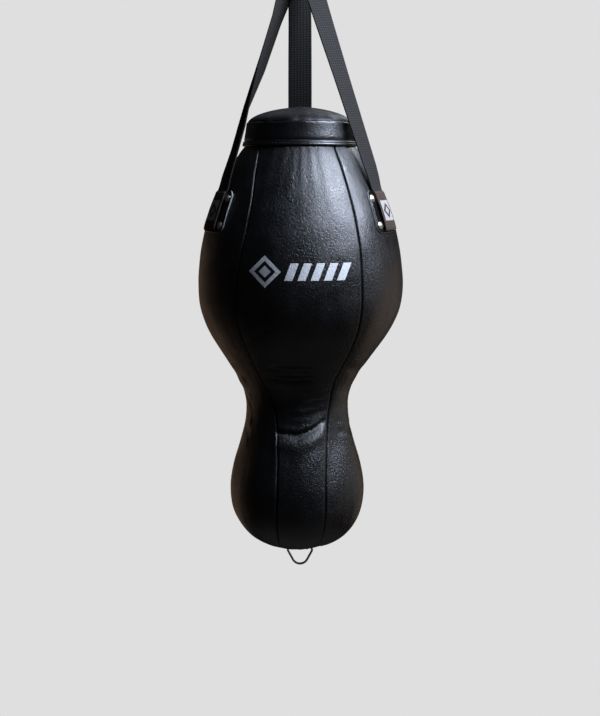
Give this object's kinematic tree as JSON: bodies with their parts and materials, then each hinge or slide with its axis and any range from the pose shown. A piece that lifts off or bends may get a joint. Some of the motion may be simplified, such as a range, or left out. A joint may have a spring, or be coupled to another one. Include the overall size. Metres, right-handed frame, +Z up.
{
  "type": "heavy punching bag",
  "caption": "Leather heavy bag with a wide body, a narrow neck and a round lower ball, hung by three webbing straps from a ring and a ball-bearing swivel.",
  "frame": {"origin": "centre of the hole in the swivel's eye", "axes": "+Z up along the bag's axis, -Y out of the front panel, +X to the right as the front is seen"},
  "size_m": [0.424, 0.4238, 1.531],
  "materials": {
    "chrome": "polished plating",
    "bearing_steel": "ground steel, greased",
    "nickel": "polished nickel plating",
    "webbing": "charcoal woven webbing",
    "label_web": "brown-black woven web with a pale woven mark",
    "leather": "glossy black hide",
    "backing_leather": "plain black split leather",
    "foam": "grey closed-cell foam",
    "canvas": "unbleached canvas",
    "textile": "packed shredded textile"
  },
  "bodies": {
    "hanger": {"swivel_eye_bolt": "chrome", "swivel_nut": "bearing_steel", "swivel_split_pin": "bearing_steel", "bearing_lower_race": "bearing_steel"},
    "swivel": {"bearing_balls": "bearing_steel", "bearing_upper_race": "bearing_steel", "swivel_housing": "chrome", "swivel_clevis": "chrome", "clevis_pin": "chrome", "clevis_pin_nut": "chrome"},
    "top_ring": {"top_ring": "chrome"},
    "bag": {"ring_wrap": "webbing", "left_strap": "webbing", "right_strap": "webbing", "back_strap": "webbing", "left_patch": "leather", "right_patch": "leather", "back_patch": "leather", "left_label": "label_web", "right_label": "label_web", "back_label": "label_web", "left_backing": "backing_leather", "right_backing": "backing_leather", "back_backing": "backing_leather", "patch_rivets": "nickel", "rivet_washers": "nickel", "front_panel": "leather", "back_panel": "leather", "left_front_panel": "leather", "right_front_panel": "leather", "left_back_panel": "leather", "right_back_panel": "leather", "round_base": "leather", "lid_dome": "leather", "lid_foam": "foam", "collar_band": "leather", "collar_hem": "leather", "foam_padding": "foam", "inner_sack": "canvas", "textile_filling": "textile", "ring_tab": "webbing"},
    "bottom_ring": {"bottom_ring": "chrome"}
  },
  "joints": [
    {"name": "swivel_spin", "type": "hinge", "parent": "hanger", "child": "swivel", "pos_m": [0, 0, 0], "axis": [0, 0, 1], "continuous": true},
    {"name": "ring_swing", "type": "hinge", "parent": "swivel", "child": "top_ring", "pos_m": [0, 0, -0.10742], "axis": [-0.5299, 0.848, 0], "range_deg": [-45, 45]},
    {"name": "bag_swing", "type": "hinge", "parent": "top_ring", "child": "bag", "pos_m": [0, 0, -0.15652], "axis": [0.848, 0.5299, 0], "range_deg": [-45, 45]},
    {"name": "bottom_ring_swing", "type": "hinge", "parent": "bag", "child": "bottom_ring", "pos_m": [0, 0, -1.47062], "axis": [1, 0, 0], "range_deg": [-75, 75]}
  ]
}
